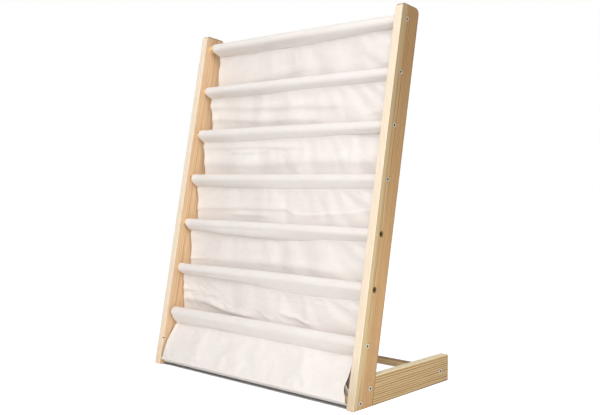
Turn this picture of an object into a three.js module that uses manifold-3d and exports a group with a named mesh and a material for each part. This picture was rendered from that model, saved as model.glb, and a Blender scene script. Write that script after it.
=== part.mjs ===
// Sling bookshelf: two leaning pine posts on pine feet, eight rods between them, and canvas slings that hang on the
// rods as pockets. Millimetres, +Z up, +X to the right, +Y to the back. The origin is on the floor, under the middle
// of the shelf's width and depth.

import * as THREE from 'three';
import { mergeVertices } from 'three/addons/utils/BufferGeometryUtils.js';
import Module from 'manifold-3d';

const wasm = await Module();
wasm.setup();

// Overall
const shelfWidth = 610; // between the outer faces of the posts
const shelfDepth = 336; // from the posts' front bottom edge to the feet's rear ends
const leanDegrees = 11; // how far the posts lean back from upright
const jointGap = 0.3; // between pieces that touch
const cutOverrun = 2; // how far every cutter runs past the face that it cuts

// Planed boards: the posts and the feet are cut from one stock
const boardThickness = 18;
const boardWidth = 58;
const boardArris = 1.4; // rounding of the long edges

// Posts
const postLength = 815; // along the front face, from the floor to the unrounded top corner
const postTopDegrees = 6.3; // how far the top end slopes down to the rear
const postFrontRound = 9; // corner at the top of the front face
const postRearRound = 14; // corner at the top of the rear face

// Half-lap between post and foot
const lapLength = 24; // from the post's rear face forwards
const lapThickness = 9; // of the foot's tongue
const lapScrewRise = 45; // along the post, from the floor
const lapScrewInset = 12; // from the post's rear face

// Feet
const footRearRound = 4; // upper corner at the rear end
const footToeRound = 2; // lower corner at the rear end

// Rods, all of one dowel stock
const rodDiameter = 18;
const rodArris = 0.8;
const rodCount = 8;
const topRodDrop = 29; // along the post, from its top
const lowestRodRise = 16; // along the post, from the floor
const rodSetback = 21; // from the post's front face
const rodSocketDepth = 6; // blind hole that takes the end of a rod
const crossbarInset = 30; // from the feet's rear ends
const crossbarRise = 25; // from the floor

// Countersunk hexagon socket screws
const screwHeadDiameter = 9.8;
const screwRimHeight = 0.5;
const screwHeadHeight = 2.9;
const screwHeadSink = 0.25; // below the board's face
const screwShankDiameter = 5;
const screwTipLength = 5;
const screwKeyAcross = 3.6; // across the corners of the hexagon socket
const screwKeyDepth = 2;
const rodScrewLength = 50;
const lapScrewLength = 16;

// Canvas
const canvasThickness = 1.2;
const canvasRodGap = 0.6; // between a tunnel and its rod
const canvasSideGap = 4; // between a sling and the posts
const canvasPlyGap = 0.4; // between two plies at a seam
const seamReach = 18; // from the rod's axis to the seam that closes a tunnel
const seamDegrees = 58; // how far below level, at the back of the rod, the seam lies
const pocketDepth = 96; // from a pocket's front rod down to its bottom
const pocketTopDrop = 5; // from that rod's axis down to the pocket's sewn front edge
const panelFold = 2.2; // depth of the soft folds across a hanging panel
const foldWavelength = 260;
const foldShift = 71; // from one sling's folds to the next one's, along the rods
const seamSag = 2.5; // how much the seam's drop varies along a rod

// Front apron, from the seventh rod down to the lowest
const apronSeamReach = 25; // from the seventh rod's axis
const apronSeamDegrees = 96;
const hemFoldRise = 9.5; // of the front lower fold, from the floor
const hemFoldSetback = 1.4; // of that fold, from the posts' front bottom edge
const hemFoldRadius = 3;
const hemTunnelRise = 46; // of the seam that closes the hem tunnel, from the floor
const apronLeftGap = 4; // between the apron and the left post
const apronRightGap = 12; // and the right post, where its edge is drawn in

// Facets
const dowelSegments = 20;
const screwSegments = 12;
const socketSegments = 20;
const keySegments = 6;
const roundSegments = 4;
const arrisSegments = 2;
const tunnelSteps = 8;
const hemSteps = 5;
const bottomSteps = 5;
const panelSteps = 4;
const foldSpans = 11;

// Worked out from the sizes above
const lean = THREE.MathUtils.degToRad(leanDegrees);
const postX = (shelfWidth - boardThickness) / 2;
const innerWidth = shelfWidth - 2 * boardThickness;
const rodRadius = rodDiameter / 2;
const rodPitch = (postLength - topRodDrop - lowestRodRise) / (rodCount - 1);
const rodSpan = innerWidth + 2 * (rodSocketDepth - jointGap);
const pilotRadius = screwShankDiameter / 2 + jointGap;
const crossbar = { y: shelfDepth / 2 - crossbarInset, z: crossbarRise };
const tunnelRadius = rodRadius + canvasRodGap + canvasThickness / 2;

// A place in the side plane, from how far it is up the post and how far behind the post's front face
function onPost(rise, setback) {
  return {
    y: rise * Math.sin(lean) + setback * Math.cos(lean) - shelfDepth / 2,
    z: rise * Math.cos(lean) - setback * Math.sin(lean),
  };
}

// Rods are counted from the top, so rod 1 is the highest
function rodPlace(number) {
  return onPost(lowestRodRise + (rodCount - number) * rodPitch, rodSetback);
}

// Materials
const pine = new THREE.MeshStandardMaterial({ color: 0xe0bc8a, roughness: 0.6, metalness: 0 });
const dowelPine = new THREE.MeshStandardMaterial({ color: 0xd8b888, roughness: 0.6, metalness: 0 });
const zincSteel = new THREE.MeshStandardMaterial({ color: 0xc4c2ba, roughness: 0.35, metalness: 1 });
const canvasCloth = new THREE.MeshStandardMaterial({ color: 0xeee6da, roughness: 0.95, metalness: 0 });

// Joins and cuts
function toSolid(geometry) {
  const bare = geometry.clone();
  bare.deleteAttribute('normal');
  bare.deleteAttribute('uv');
  const merged = mergeVertices(bare);
  return new wasm.Manifold(new wasm.Mesh({
    numProp: 3,
    vertProperties: new Float32Array(merged.attributes.position.array),
    triVerts: new Uint32Array(merged.index.array),
  }));
}

function toGeometry(solid) {
  const mesh = solid.getMesh();
  const geometry = new THREE.BufferGeometry();
  geometry.setAttribute('position', new THREE.BufferAttribute(mesh.vertProperties, 3));
  geometry.setIndex(new THREE.BufferAttribute(mesh.triVerts, 1));
  geometry.computeVertexNormals();
  return geometry;
}

function cutAway(body, cutters) {
  let solid = toSolid(body);
  for (const cutter of cutters) {
    solid = solid.subtract(toSolid(cutter));
  }
  return toGeometry(solid);
}

// Turns a shape drawn as (y, z) into the side plane, so that its extrusion runs along X
const sidePlane = new THREE.Matrix4().makeBasis(
  new THREE.Vector3(0, 1, 0),
  new THREE.Vector3(0, 0, 1),
  new THREE.Vector3(1, 0, 0),
);

// A board with a given outline in the side plane and rounded edges, centred on X = 0
function boardFromOutline(outline, thickness) {
  const geometry = new THREE.ExtrudeGeometry(outline, {
    depth: thickness - 2 * boardArris,
    bevelEnabled: true,
    bevelThickness: boardArris,
    bevelSize: boardArris,
    bevelOffset: -boardArris,
    bevelSegments: arrisSegments,
    curveSegments: roundSegments,
  });
  geometry.translate(0, 0, boardArris - thickness / 2);
  return geometry.applyMatrix4(sidePlane);
}

// A plain block with a given outline in the side plane, from X = 0 to X = thickness
function blockFromOutline(outline, thickness) {
  const geometry = new THREE.ExtrudeGeometry(outline, { depth: thickness, bevelEnabled: false });
  return geometry.applyMatrix4(sidePlane);
}

// An outline through places in the side plane, with the corners that have a radius rounded
function outlineThrough(corners) {
  const outline = new THREE.Shape();
  corners.forEach((corner, i) => {
    const here = new THREE.Vector2(corner.y, corner.z);
    if (!corner.round) {
      if (i === 0) {
        outline.moveTo(here.x, here.y);
      } else {
        outline.lineTo(here.x, here.y);
      }
      return;
    }
    const before = corners[(i + corners.length - 1) % corners.length];
    const after = corners[(i + 1) % corners.length];
    const back = new THREE.Vector2(before.y, before.z).sub(here).normalize();
    const ahead = new THREE.Vector2(after.y, after.z).sub(here).normalize();
    const start = here.clone().addScaledVector(back, corner.round);
    const end = here.clone().addScaledVector(ahead, corner.round);
    outline.lineTo(start.x, start.y);
    outline.quadraticCurveTo(here.x, here.y, end.x, end.y);
  });
  outline.closePath();
  return outline;
}

// A solid turned about the X axis through a place, its profile given as (radius, distance along +X * side)
function turned(profile, segments, side, place) {
  const points = profile.map(([radius, along]) => new THREE.Vector2(radius, along));
  const geometry = new THREE.LatheGeometry(points, segments);
  geometry.rotateZ(-side * Math.PI / 2);
  return geometry.translate(place.x, place.y, place.z);
}

// The screw's profile, from its tip to the middle of its head, with its head's top at zero. The allowance is added
// all round, and overrun takes a cutter out through the board's face.
function screwProfile(length, allowance, overrun) {
  const shank = screwShankDiameter / 2 + allowance;
  const head = screwHeadDiameter / 2 + allowance;
  return [
    [0, -length - allowance],
    [shank, screwTipLength - length - allowance],
    [shank, -screwHeadHeight],
    [head, -screwRimHeight - allowance],
    [head, overrun],
    [0, overrun],
  ];
}

// The hole that a screw leaves in the boards, from the outer face inwards
function screwHole(side, place, length) {
  const head = { x: side * (shelfWidth / 2 - screwHeadSink), y: place.y, z: place.z };
  return turned(screwProfile(length, jointGap, cutOverrun), screwSegments, side, head);
}

// The blind hole in a board's inner face that takes a rod's end
function rodSocket(side, place) {
  const profile = [
    [0, -cutOverrun],
    [rodRadius + jointGap, -cutOverrun],
    [rodRadius + jointGap, rodSocketDepth],
    [0, rodSocketDepth],
  ];
  return turned(profile, socketSegments, side, { x: side * innerWidth / 2, y: place.y, z: place.z });
}

const lapScrewPlace = onPost(lapScrewRise, boardWidth - lapScrewInset);

// A place at a height above the floor, as far behind the post's slanting front face as the setback
function slantedFace(height, setback) {
  return { y: height * Math.tan(lean) + setback / Math.cos(lean) - shelfDepth / 2, z: height };
}

// The outline of the foot's tongue, grown by an allowance for the housing that takes it
function tongueOutline(allowance, overrun) {
  const front = boardWidth - lapLength - allowance;
  const rear = boardWidth + overrun;
  const top = boardWidth + allowance;
  const bottom = allowance > 0 ? -overrun : 0;
  return outlineThrough([
    slantedFace(bottom, front),
    slantedFace(bottom, rear),
    slantedFace(top, rear),
    slantedFace(top, front),
  ]);
}

// Posts: slanted boards cut level on the floor, with sockets for the rods and a housing for the foot
function makePost(side) {
  const topRise = boardWidth * Math.tan(lean - THREE.MathUtils.degToRad(postTopDegrees));
  const outline = outlineThrough([
    slantedFace(0, 0),
    slantedFace(0, boardWidth),
    { ...onPost(postLength + topRise, boardWidth), round: postRearRound },
    { ...onPost(postLength, 0), round: postFrontRound },
  ]);
  const board = boardFromOutline(outline, boardThickness).translate(side * postX, 0, 0);
  const cutters = [screwHole(side, lapScrewPlace, lapScrewLength)];
  for (let number = 1; number <= rodCount; number += 1) {
    cutters.push(screwHole(side, rodPlace(number), rodScrewLength));
    cutters.push(rodSocket(side, rodPlace(number)));
  }
  const housingDepth = lapThickness + jointGap;
  const housing = blockFromOutline(tongueOutline(jointGap, cutOverrun), housingDepth + cutOverrun);
  const housingStart = side > 0 ? innerWidth / 2 - cutOverrun : -innerWidth / 2 - housingDepth;
  cutters.push(housing.translate(housingStart, 0, 0));
  return cutAway(board, cutters);
}

// Feet: level boards on edge that butt against the posts' rear faces, each with a tongue inside the post
function makeFoot(side) {
  const shoulder = boardWidth + jointGap;
  const rearEnd = { y: shelfDepth / 2, z: 0 };
  const outline = outlineThrough([
    slantedFace(0, shoulder),
    { ...rearEnd, round: footToeRound },
    { ...rearEnd, z: boardWidth, round: footRearRound },
    slantedFace(boardWidth, shoulder),
  ]);
  const board = toSolid(boardFromOutline(outline, boardThickness).translate(side * postX, 0, 0));
  const tongue = blockFromOutline(tongueOutline(0, cutOverrun + boardArris), lapThickness);
  const tongueStart = side > 0 ? innerWidth / 2 : -innerWidth / 2 - lapThickness;
  const joined = board.add(toSolid(tongue.translate(tongueStart, 0, 0)));
  return cutAway(toGeometry(joined), [
    screwHole(side, lapScrewPlace, lapScrewLength),
    screwHole(side, crossbar, rodScrewLength),
    rodSocket(side, crossbar),
  ]);
}

// Rods: dowels with eased ends, drilled at both ends for their screws
function makeRod(place) {
  const half = rodSpan / 2;
  const screwTip = shelfWidth / 2 - screwHeadSink - rodScrewLength - jointGap;
  const pilotEnd = screwTip - jointGap;
  const halfProfile = [
    [0, pilotEnd],
    [pilotRadius, pilotEnd],
    [pilotRadius, half],
    [rodRadius - rodArris, half],
    [rodRadius, half - rodArris],
  ];
  const mirrored = halfProfile.map(([radius, along]) => [radius, -along]);
  return turned([...mirrored, ...halfProfile.reverse()], dowelSegments, 1, { x: 0, ...place });
}

// Screws: a countersunk head with a hexagon socket, a plain shank and a point
function makeScrew(side, place, length) {
  const head = { x: side * (shelfWidth / 2 - screwHeadSink), y: place.y, z: place.z };
  const body = turned(screwProfile(length, 0, 0), screwSegments, side, head);
  const keyRadius = screwKeyAcross / 2;
  const key = turned(
    [[0, -screwKeyDepth], [keyRadius, -screwKeyDepth], [keyRadius, cutOverrun], [0, cutOverrun]],
    keySegments,
    side,
    head,
  );
  return cutAway(body, [key]);
}

// Points along a round stretch in the side plane, between two angles that are counted from +Y towards +Z
function arcPoints(centre, radius, from, to, steps) {
  const points = [];
  for (let i = 0; i <= steps; i += 1) {
    const angle = from + ((to - from) * i) / steps;
    points.push({ y: centre.y + radius * Math.cos(angle), z: centre.z + radius * Math.sin(angle) });
  }
  return points;
}

// Points between two places, without the places themselves
function between(start, end, steps) {
  const points = [];
  for (let i = 1; i < steps; i += 1) {
    const share = i / steps;
    points.push({ y: start.y + (end.y - start.y) * share, z: start.z + (end.z - start.z) * share });
  }
  return points;
}

// A place moved a given distance towards another
function towards(place, target, distance) {
  const length = Math.hypot(target.y - place.y, target.z - place.z);
  return {
    y: place.y + ((target.y - place.y) * distance) / length,
    z: place.z + ((target.z - place.z) * distance) / length,
  };
}

// The soft folds of a sling along its rod: a share from 0 to 1 at each X
function foldShare(number, x) {
  const phase = (2 * Math.PI * (x + number * foldShift)) / foldWavelength;
  return (1 + Math.sin(phase) * Math.cos(phase / 3)) / 2;
}

// The seam that closes a tunnel, at each X
function seamPlace(number, x, reach, degrees) {
  const rod = rodPlace(number);
  const angle = -THREE.MathUtils.degToRad(degrees);
  const drop = seamSag * foldShare(number + rodCount, x);
  return { y: rod.y + reach * Math.cos(angle), z: rod.z + reach * Math.sin(angle) - drop };
}

// The angle at which a straight ply from a place touches the cloth round a rod, on one side or the other
function tangentAngle(rod, place, turn) {
  const reach = Math.hypot(place.y - rod.y, place.z - rod.z);
  const angle = Math.atan2(place.z - rod.z, place.y - rod.y);
  return (angle + 2 * Math.PI) % (2 * Math.PI) + turn * Math.acos(tunnelRadius / reach);
}

// The cloth's middle line round a rod, from the ply that ends at the seam, forwards and over the rod, to its back
function tunnelPath(number, seam) {
  const rod = rodPlace(number);
  const front = tangentAngle(rod, seam, -1);
  const back = tangentAngle(rod, seam, 1) - 2 * Math.PI;
  const round = arcPoints(rod, tunnelRadius, front, back, tunnelSteps);
  return [towards(seam, round[0], canvasThickness + canvasPlyGap), ...round];
}

// How far a hanging panel is pushed back by its folds, growing from nothing at its seam
function panelPush(number, x, drop) {
  const grown = Math.min(1, Math.max(0, drop / rodPitch));
  return panelFold * foldShare(number, x) * grown;
}

// Cross-section of a pocket sling: tunnel, back panel, rounded bottom and the front ply up to the next rod
function pocketPath(number, x) {
  const seam = seamPlace(number, x, seamReach, seamDegrees);
  const front = rodPlace(number + 1);
  const frontSeam = seamPlace(number + 1, x, seamReach, seamDegrees);
  const plyOffset = canvasThickness + canvasPlyGap;
  const bottomLevel = front.z - pocketDepth;
  const pushBack = panelPush(number, x, rodPitch);
  const pushFront = panelPush(number + 1, x, rodPitch);
  const rearY = seam.y + pushBack;
  const foreY = rodPlace(number + 1).y + seamReach * Math.cos(THREE.MathUtils.degToRad(seamDegrees))
    + plyOffset + pushFront;
  const bottomRadius = (rearY - foreY) / 2;
  const bottomCentre = { y: (rearY + foreY) / 2, z: bottomLevel + bottomRadius };
  const bottom = arcPoints(bottomCentre, bottomRadius, 0, -Math.PI, bottomSteps);
  const panel = between(seam, bottom[0], panelSteps).map((point) => {
    const push = panelPush(number, x, seam.z - point.z);
    return { y: seam.y + push, z: point.z };
  });
  const top = { y: front.y + tunnelRadius + plyOffset, z: front.z - pocketTopDrop };
  const ply = between(bottom[bottomSteps], { y: foreY, z: frontSeam.z }, panelSteps - 1).map((point) => {
    const push = panelPush(number + 1, x, frontSeam.z - point.z);
    return { y: foreY - pushFront + push, z: point.z };
  });
  const shoulder = { y: foreY - pushFront, z: frontSeam.z };
  return [...tunnelPath(number, seam), seam, ...panel, ...bottom, ...ply, shoulder, top];
}

// Cross-section of the apron: tunnel on the seventh rod, a panel that slants forwards, and the hem round the lowest
function apronPath(number, x) {
  const seam = seamPlace(number, x, apronSeamReach, apronSeamDegrees);
  const lowest = rodPlace(rodCount);
  const fold = { y: hemFoldSetback + hemFoldRadius - shelfDepth / 2, z: hemFoldRise + hemFoldRadius };
  const panelFoot = arcPoints(fold, hemFoldRadius, Math.PI, 3 * Math.PI / 2, 2);
  const panel = between(seam, panelFoot[0], panelSteps + 2).map((point) => {
    const share = (seam.z - point.z) / (seam.z - panelFoot[0].z);
    const push = panelFold * foldShare(number, x) * Math.sin(Math.PI * share);
    return { y: point.y - push, z: point.z };
  });
  const hemSeam = { y: seam.y, z: seam.z };
  const share = (seam.z - hemTunnelRise) / (seam.z - panelFoot[0].z);
  hemSeam.y += (panelFoot[0].y - seam.y) * share + canvasThickness + canvasPlyGap;
  hemSeam.z = hemTunnelRise;
  const from = tangentAngle(lowest, panelFoot[panelFoot.length - 1], 1) - 2 * Math.PI;
  const under = arcPoints(lowest, tunnelRadius, from, tangentAngle(lowest, hemSeam, -1), hemSteps);
  return [...tunnelPath(number, seam), seam, ...panel, ...panelFoot, ...under, hemSeam];
}

// The unit normal of a path at one of its points, to the left of the way that it runs
function pathNormal(path, i) {
  const before = path[Math.max(0, i - 1)];
  const after = path[Math.min(path.length - 1, i + 1)];
  const length = Math.hypot(after.y - before.y, after.z - before.z);
  return { y: -(after.z - before.z) / length, z: (after.y - before.y) / length };
}

// A strip of cloth between the posts, whose middle line follows a path in the side plane that may change along X
function clothFromPath(pathAt, leftGap, rightGap) {
  const left = leftGap - innerWidth / 2;
  const width = innerWidth - leftGap - rightGap;
  const positions = [];
  const index = [];
  let count = 0;
  for (let station = 0; station <= foldSpans; station += 1) {
    const x = left + (width * station) / foldSpans;
    const path = pathAt(x);
    count = path.length;
    for (const face of [1, -1]) {
      path.forEach((point, i) => {
        const normal = pathNormal(path, i);
        const reach = (face * canvasThickness) / 2;
        positions.push(x, point.y + normal.y * reach, point.z + normal.z * reach);
      });
    }
  }
  const at = (station, face, i) => (station * 2 + face) * count + i;
  const quad = (a, b, c, d) => index.push(a, c, b, a, d, c);
  for (let station = 0; station < foldSpans; station += 1) {
    const next = station + 1;
    for (let i = 0; i < count - 1; i += 1) {
      quad(at(station, 0, i), at(station, 0, i + 1), at(next, 0, i + 1), at(next, 0, i));
      quad(at(station, 1, i), at(next, 1, i), at(next, 1, i + 1), at(station, 1, i + 1));
    }
    quad(at(station, 0, 0), at(next, 0, 0), at(next, 1, 0), at(station, 1, 0));
    const last = count - 1;
    quad(at(station, 0, last), at(station, 1, last), at(next, 1, last), at(next, 0, last));
  }
  for (let i = 0; i < count - 1; i += 1) {
    quad(at(0, 0, i), at(0, 1, i), at(0, 1, i + 1), at(0, 0, i + 1));
    quad(at(foldSpans, 0, i), at(foldSpans, 0, i + 1), at(foldSpans, 1, i + 1), at(foldSpans, 1, i));
  }
  const geometry = new THREE.BufferGeometry();
  geometry.setAttribute('position', new THREE.Float32BufferAttribute(positions, 3));
  geometry.setIndex(index);
  geometry.computeVertexNormals();
  return geometry;
}

// The shelf
const bookshelf = new THREE.Group();
bookshelf.name = 'sling_bookshelf';

function addPiece(name, geometry, material) {
  const mesh = new THREE.Mesh(geometry, material);
  mesh.name = name;
  bookshelf.add(mesh);
}

const sides = [['left', -1], ['right', 1]];

for (const [word, side] of sides) {
  addPiece(`post_${word}`, makePost(side), pine);
  addPiece(`foot_${word}`, makeFoot(side), pine);
  addPiece(`foot_screw_${word}`, makeScrew(side, lapScrewPlace, lapScrewLength), zincSteel);
  addPiece(`crossbar_screw_${word}`, makeScrew(side, crossbar, rodScrewLength), zincSteel);
}
addPiece('rear_crossbar', makeRod(crossbar), dowelPine);

for (let number = 1; number <= rodCount; number += 1) {
  addPiece(`rod_${number}`, makeRod(rodPlace(number)), dowelPine);
  for (const [word, side] of sides) {
    addPiece(`rod_screw_${word}_${number}`, makeScrew(side, rodPlace(number), rodScrewLength), zincSteel);
  }
}

const slingCount = rodCount - 2;
for (let number = 1; number <= slingCount; number += 1) {
  addPiece(
    `sling_${number}`,
    clothFromPath((x) => pocketPath(number, x), canvasSideGap, canvasSideGap),
    canvasCloth,
  );
}
addPiece(
  'front_apron',
  clothFromPath((x) => apronPath(rodCount - 1, x), apronLeftGap, apronRightGap),
  canvasCloth,
);

export default bookshelf;
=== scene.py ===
import math

import bmesh
import bpy
from mathutils import Matrix, Vector, noise


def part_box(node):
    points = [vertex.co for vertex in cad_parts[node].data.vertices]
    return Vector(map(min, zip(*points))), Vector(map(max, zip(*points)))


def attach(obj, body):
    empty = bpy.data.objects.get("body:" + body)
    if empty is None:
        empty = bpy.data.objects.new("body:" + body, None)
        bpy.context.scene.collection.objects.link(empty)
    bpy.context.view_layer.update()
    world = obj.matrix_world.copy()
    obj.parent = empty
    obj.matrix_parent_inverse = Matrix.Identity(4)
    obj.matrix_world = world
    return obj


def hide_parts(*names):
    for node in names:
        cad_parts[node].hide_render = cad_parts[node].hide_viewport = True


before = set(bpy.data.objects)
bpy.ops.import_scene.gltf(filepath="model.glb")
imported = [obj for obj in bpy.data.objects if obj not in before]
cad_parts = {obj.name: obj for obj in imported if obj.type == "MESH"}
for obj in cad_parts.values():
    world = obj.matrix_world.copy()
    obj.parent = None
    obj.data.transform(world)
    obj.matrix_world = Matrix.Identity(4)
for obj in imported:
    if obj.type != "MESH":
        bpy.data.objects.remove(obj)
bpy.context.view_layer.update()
mm = 0.001
sides = {"left": -1, "right": 1}


# Small helpers

def deselect():
    if bpy.context.mode != "OBJECT":
        bpy.ops.object.mode_set(mode="OBJECT")
    bpy.ops.object.select_all(action="DESELECT")


def activate(piece):
    deselect()
    piece.select_set(True)
    bpy.context.view_layer.objects.active = piece


def newest(name):
    piece = bpy.context.object
    piece.name = name
    piece.data.name = name
    return piece


def settlePlace(piece):  # puts the object's place, turn and scale into its mesh
    activate(piece)
    bpy.ops.object.transform_apply(location=True, rotation=True, scale=True)


def pick(piece, kind, test):  # edit mode, with only the edges or faces that pass the test selected
    activate(piece)
    bpy.ops.object.mode_set(mode="EDIT")
    bpy.ops.mesh.select_mode(type="FACE" if kind == "faces" else "EDGE")
    bpy.ops.mesh.select_all(action="DESELECT")
    mesh = bmesh.from_edit_mesh(piece.data)
    for part in getattr(mesh, kind):
        part.select_set(bool(test(part)))
    bmesh.update_edit_mesh(piece.data)


def edgeMiddle(edge):
    return (edge.verts[0].co + edge.verts[1].co) / 2


def runsAcross(edge):  # true if the edge lies along X
    span = edge.verts[1].co - edge.verts[0].co
    return abs(span.x) > 0.99 * span.length


def addModifier(piece, kind, **settings):
    modifier = piece.modifiers.new(kind.lower(), kind)
    for key, value in settings.items():
        setattr(modifier, key, value)
    return modifier


def applyModifiers(piece):
    activate(piece)
    for modifier in list(piece.modifiers):
        bpy.ops.object.modifier_apply(modifier=modifier.name)


def join(pieces, name):
    deselect()
    for piece in pieces:
        piece.select_set(True)
    bpy.context.view_layer.objects.active = pieces[0]
    bpy.ops.object.join()
    return newest(name)


def copyPiece(piece, name):
    twin = piece.copy()
    twin.data = piece.data.copy()
    twin.name = name
    twin.data.name = name
    bpy.context.scene.collection.objects.link(twin)
    return twin


def cutFrom(piece, cutter):
    addModifier(piece, "BOOLEAN", operation="DIFFERENCE", object=cutter, solver="EXACT")
    applyModifiers(piece)
    bpy.data.objects.remove(cutter)


def sliceOff(piece, place, normal):  # takes off what lies on the normal's side of a plane, and closes the cut
    pick(piece, "faces", lambda face: True)
    bpy.ops.mesh.bisect(plane_co=place, plane_no=normal, use_fill=True, clear_outer=True)
    bpy.ops.object.mode_set(mode="OBJECT")


def roundCorners(piece, width, steps, test):  # rounds the edges along X whose middles pass the test
    pick(piece, "edges", lambda edge: runsAcross(edge) and test(edgeMiddle(edge)))
    bpy.ops.mesh.bevel(offset=width, segments=steps, affect="EDGES")
    bpy.ops.object.mode_set(mode="OBJECT")


def easeEdges(piece, width, steps):  # rounds every edge that turns by more than 40 degrees
    sharp = math.radians(40)
    addModifier(piece, "BEVEL", width=width, segments=steps, limit_method="ANGLE", angle_limit=sharp)
    applyModifiers(piece)


def smoothFinish(piece, degrees=35):
    activate(piece)
    bpy.ops.object.shade_smooth_by_angle(angle=math.radians(degrees))
    addModifier(piece, "WEIGHTED_NORMAL", keep_sharp=True)
    applyModifiers(piece)


def middleOf(node):
    low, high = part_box(node)
    return (low + high) / 2


def finishPiece(piece, node, material):
    piece.data.materials.clear()
    piece.data.materials.append(material)
    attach(piece, "root")
    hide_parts(node)


# Materials

def linear(code):  # sRGB hex to a linear colour
    values = [int(code[i:i + 2], 16) / 255 for i in (0, 2, 4)]
    return [v / 12.92 if v <= 0.04045 else ((v + 0.055) / 1.055) ** 2.4 for v in values] + [1]


def addNode(tree, kind, inputs, stops=(), **settings):
    # an input is a value, or another node's output to link; stops are a ramp's places and hex colours
    node = tree.nodes.new("ShaderNode" + kind)
    for key, value in settings.items():
        setattr(node, key, value)
    for key, value in inputs.items():
        if isinstance(value, bpy.types.NodeSocket):
            tree.links.new(value, node.inputs[key])
        else:
            node.inputs[key].default_value = value
    for i, (place, code) in enumerate(stops):
        element = node.color_ramp.elements[i] if i < 2 else node.color_ramp.elements.new(place)
        element.position = place
        element.color = linear(code)
    return node.outputs


def emptyMaterial(name):
    material = bpy.data.materials.new(name)
    material.use_nodes = True
    material.node_tree.nodes.clear()
    return material, material.node_tree


# pith: the middle of the tree, as mm behind the front edge of the board and mm beside its middle plane
# edge: how much painted light the face turned most to the lamps takes (on a post the front face, on a foot
# the top); toe: the share of it that is left at the floor
# band: a paler lens behind the front edge; next, how far behind the front edge lies the edge that takes a
# painted shade
# top: how far along the grain the upper end lies, which takes the same painted shade as that edge
boardLooks = {
    "leftPost": {
        "ringSpacing": 2.6, "waver": 6, "pith": (30, 36), "contrast": 0.5,
        "pale": "F6D6AF", "warm": "EEC392", "ring": "C78A56",
        "paintedLight": "FFF0DA", "edge": 0.93, "toe": 0.6,
        "band": "F6DDBA", "bandShare": 0.5, "bandDepth": 10, "edgeShade": 59, "top": 817,
        "knot": (63, 0, -9), "knotSize": (1.6, 6, 4),
    },
    # the right post's colours are darker and browner than the left's: partly a real difference between the
    # boards, partly painted shade, as its outer face gets less light than the left post's inner face
    "rightPost": {
        "ringSpacing": 2.8, "waver": 7, "pith": (14, 34), "contrast": 0.75,
        "pale": "BC9C6F", "warm": "B38757", "ring": "835025",
        "paintedLight": "FAEAD2", "edge": 0.95, "toe": 0.5,
        "band": "C5B38C", "bandShare": 0.75, "bandDepth": 16, "edgeShade": 59, "top": 816,
        "knot": (310, 44, 9), "knotSize": (7, 5, 4),
    },
    "foot": {
        "ringSpacing": 4.7, "waver": 11, "pith": (-150, 20), "contrast": 0.8,
        "pale": "C0A77B", "warm": "A58250", "ring": "523213",
        "paintedLight": "FEEDC7", "edge": 0.85, "toe": 1,
        "band": "F0DDB6", "bandShare": 0, "bandDepth": 10, "edgeShade": 58,
    },
    "dowel": {
        "ringSpacing": 2.6, "waver": 4, "pith": (-22, 9), "contrast": 0.5,
        "pale": "FEDEAC", "warm": "F1CA96", "ring": "B68952",
        "paintedLight": "F0DDB6", "edge": 0, "toe": 1,
        "band": "F0DDB6", "bandShare": 0, "bandDepth": 10, "edgeShade": 9,
    },
}
wood = {
    "ringLengthShare": 10,         # the growth lines' waver is this many times longer than wide
    "fibreWidth": 0.7 * mm,
    "fibreLengthShare": 60,        # a fibre streak is this many times longer than wide
    "fibreShade": "D6CABC",
    "fibreRelief": 0.15 * mm,
    "streakWidth": 5 * mm,
    "streakContrast": (0.4, 1.2),  # the growth lines' contrast in the palest and in the strongest streaks
    # painted light: the face turned most to the lamps is painted paler, fading out this far behind it
    "paintedLightDepth": 1.3 * mm,
    "toeRise": (20 * mm, 105 * mm),  # the painted light on the front edge reaches its full strength between these heights
    "bandHalf": 7 * mm,
    "bandWander": 14 * mm,
    "bandWanderWidth": 62.5 * mm,
    # painted shade along one edge and at a post's upper end: its reach, its strength and its colour
    "edgeShadeDepth": 3.5 * mm,
    "edgeShadeShare": 0.65,
    "edgeShadeColour": "75604A",
    "knotShare": 0.85,
    "knotColour": "5B3A20",
    "topFall": -0.082,             # how a post's upper end falls off from square, towards its rear
    "roughness": (0.48, 0.62),
}


def grainColour(tree, ringMap, fibreMap, looks):
    # growth lines over broad streaks, and clearer in some streaks than in others
    rings = addNode(tree, "TexWave", {
        "Vector": ringMap, "Scale": math.pi / (10 * looks["ringSpacing"] * mm),
        "Distortion": looks["waver"], "Detail": 2, "Detail Scale": 0.18, "Detail Roughness": 0.45,
    }, wave_type="RINGS", rings_direction="X", wave_profile="SAW")["Fac"]
    streaks = addNode(tree, "TexNoise", {
        "Vector": fibreMap, "Scale": 1 / wood["streakWidth"], "Detail": 2, "Roughness": 0.5,
    })["Fac"]
    pale, warm, ring = [looks[word] for word in ("pale", "warm", "ring")]
    lines = addNode(tree, "ValToRGB", {"Fac": rings}, [
        (0.0, pale), (0.42, pale), (0.7, warm), (0.86, ring), (0.95, ring),
    ])["Color"]
    broad = addNode(tree, "ValToRGB", {"Fac": streaks}, [(0.35, pale), (0.7, warm)])["Color"]
    faint, clear = wood["streakContrast"]
    contrast = addNode(tree, "MapRange", {
        "Value": streaks, "From Min": 0.35, "From Max": 0.65,
        "To Min": looks["contrast"] * faint, "To Max": looks["contrast"] * clear,
    })["Result"]
    return addNode(tree, "Mix", {0: contrast, 6: broad, 7: lines}, data_type="RGBA")[2]


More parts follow.
